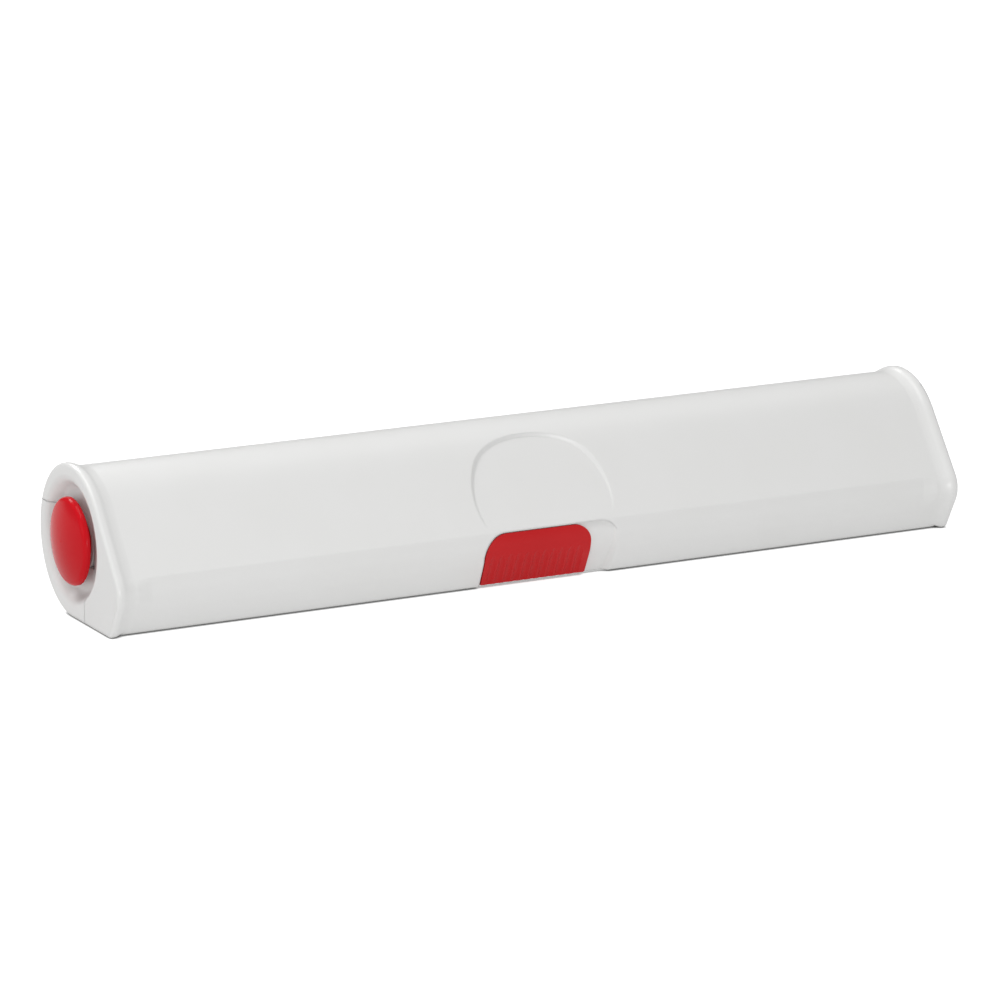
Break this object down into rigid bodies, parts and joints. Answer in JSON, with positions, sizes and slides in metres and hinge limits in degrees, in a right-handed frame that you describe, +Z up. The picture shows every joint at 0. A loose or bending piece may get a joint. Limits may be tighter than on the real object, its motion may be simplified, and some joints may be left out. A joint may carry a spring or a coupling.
{
  "type": "cling film dispenser",
  "caption": "Hand-held cling film dispenser: hinged white casing with a sloping front, a turning film roll on red domed end knobs, a toothed blade and a ribbed sliding latch button.",
  "frame": {"origin": "centre of the overall bounding box in plan, at table level", "axes": "+X along the casing to the right of someone facing its front, -Y is the sloping front with the latch, +Z up"},
  "size_m": [0.3838, 0.0752, 0.0607],
  "materials": {
    "casing_white": "semi-gloss moulded",
    "knob_red": "high gloss",
    "button_red": "satin moulded",
    "plug_grey": "moulded",
    "steel": "brushed",
    "silicone_clear": "translucent matte",
    "film": "clear wound film",
    "core_card": "wound card"
  },
  "bodies": {
    "base": {"base_shell": "casing_white", "cutting_blade": "steel", "blade_clamp_strip": "steel", "blade_screws": "steel", "grip_strip": "silicone_clear", "film_leader": "film", "hinge_pin_left": "steel", "hinge_pin_right": "steel"},
    "lid": {"lid_shell": "casing_white", "press_strip": "silicone_clear"},
    "latch": {"latch_button": "button_red", "latch_hook_plate": "steel", "latch_screws": "steel", "latch_friction_spring": "steel"},
    "roll": {"film_roll": "film", "core_tube": "core_card", "core_plug_left": "plug_grey", "core_plug_right": "plug_grey", "end_knob_left": "knob_red", "end_knob_right": "knob_red", "knob_screw_left": "steel", "knob_screw_right": "steel"}
  },
  "joints": [
    {"name": "lid_hinge", "type": "hinge", "parent": "base", "child": "lid", "pos_m": [0, 0.03533, 0.0413], "axis": [-1, 0, 0], "range_deg": [0, 100]},
    {"name": "latch_slide", "type": "slide", "parent": "lid", "child": "latch", "axis": [1, 0, 0], "range_m": [0, 0.009]},
    {"name": "roll_spin", "type": "hinge", "parent": "base", "child": "roll", "pos_m": [0, 0.00702, 0.03035], "axis": [1, 0, 0], "continuous": true}
  ]
}
